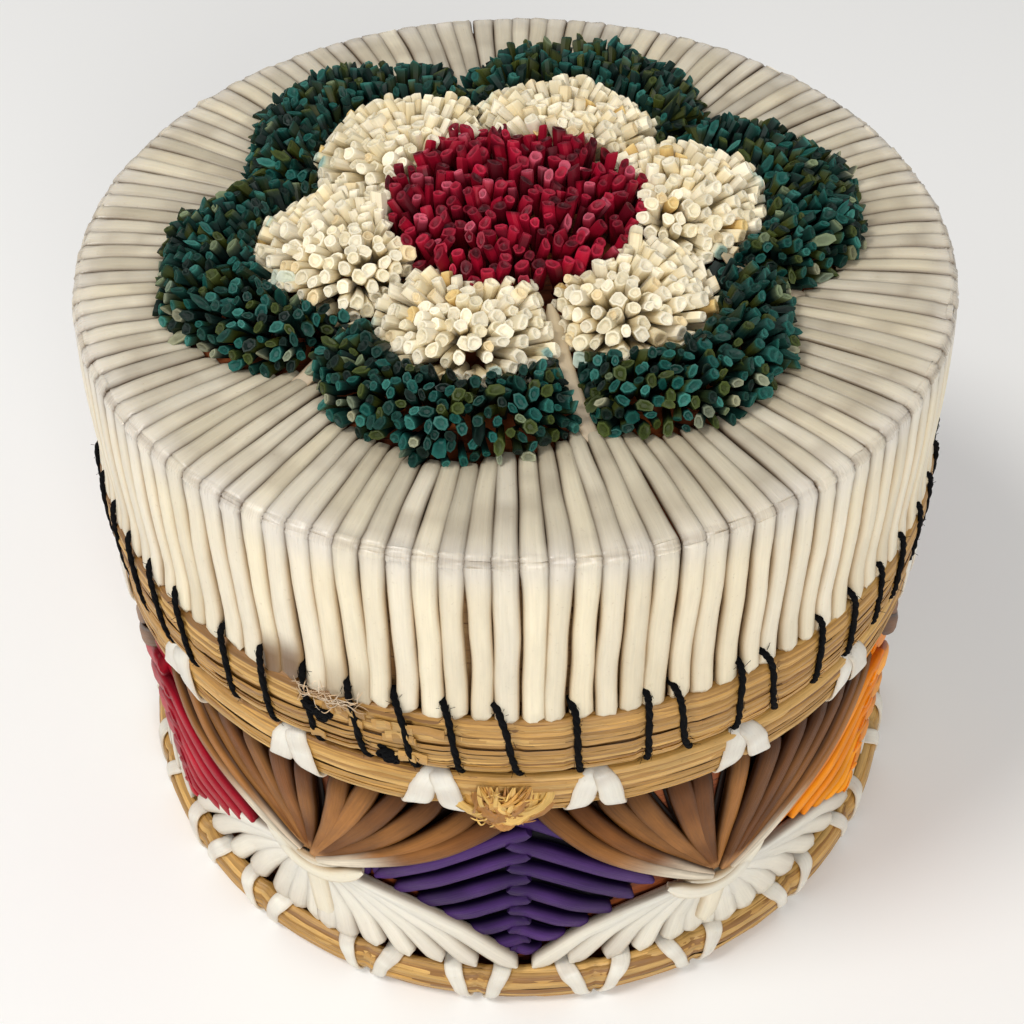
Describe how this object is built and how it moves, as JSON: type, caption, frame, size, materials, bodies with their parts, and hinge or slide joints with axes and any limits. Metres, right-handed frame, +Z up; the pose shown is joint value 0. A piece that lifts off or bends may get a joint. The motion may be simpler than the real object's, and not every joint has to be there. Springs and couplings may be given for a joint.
{
  "type": "sewing basket",
  "caption": "Round lidded bark basket for sewing things, covered in dyed quillwork, with sweetgrass rims and a tufted quill flower on a lift-off lid.",
  "frame": {"origin": "centre of the underside, on the surface the basket stands on", "axes": "+Z up along the basket's axis; -Y towards the front, where a purple diamond is"},
  "size_m": [0.1012, 0.101, 0.0817],
  "materials": {
    "bark": "matte",
    "bark_lining": "matte",
    "sweetgrass": "satin",
    "white_quill": "satin",
    "brown_quill": "satin",
    "purple_quill": "satin",
    "crimson_quill": "satin",
    "orange_quill": "satin",
    "green_quill": "satin",
    "black_thread": "matte"
  },
  "bodies": {
    "basket": {"bottom_disc": "bark", "outer_wall": "bark", "inner_sleeve": "bark_lining", "bottom_lining": "bark_lining", "foot_rim": "sweetgrass", "shoulder_rim": "sweetgrass", "foot_rim_binding": "white_quill", "shoulder_rim_binding": "white_quill", "brown_fan_1": "brown_quill", "white_fan_1": "white_quill", "fan_tie_1": "white_quill", "brown_fan_2": "brown_quill", "white_fan_2": "white_quill", "fan_tie_2": "white_quill", "brown_fan_3": "brown_quill", "white_fan_3": "white_quill", "fan_tie_3": "white_quill", "brown_fan_4": "brown_quill", "white_fan_4": "white_quill", "fan_tie_4": "white_quill", "brown_fan_5": "brown_quill", "white_fan_5": "white_quill", "fan_tie_5": "white_quill", "brown_fan_6": "brown_quill", "white_fan_6": "white_quill", "fan_tie_6": "white_quill", "purple_chevrons_1": "purple_quill", "orange_chevrons_1": "orange_quill", "crimson_chevrons_1": "crimson_quill", "purple_chevrons_2": "purple_quill", "orange_chevrons_2": "orange_quill", "crimson_chevrons_2": "crimson_quill"},
    "lid": {"lid_wall": "bark", "lid_disc": "bark", "lid_lining": "bark_lining", "lid_rim": "sweetgrass", "lid_rim_thread": "black_thread", "lid_quills_1": "white_quill", "lid_quills_2": "white_quill", "lid_quills_3": "white_quill", "lid_quills_4": "white_quill", "lid_quills_5": "white_quill", "lid_quills_6": "white_quill", "flower_centre": "crimson_quill", "white_petal_1": "white_quill", "white_petal_2": "white_quill", "white_petal_3": "white_quill", "white_petal_4": "white_quill", "white_petal_5": "white_quill", "white_petal_6": "white_quill", "green_petal_1": "green_quill", "green_petal_2": "green_quill", "green_petal_3": "green_quill", "green_petal_4": "green_quill", "green_petal_5": "green_quill", "green_petal_6": "green_quill", "notch_quill": "white_quill"}
  },
  "joints": [
    {"name": "lid_lift", "type": "slide", "parent": "basket", "child": "lid", "axis": [0, 0, 1], "range_m": [0, 0.06]}
  ]
}
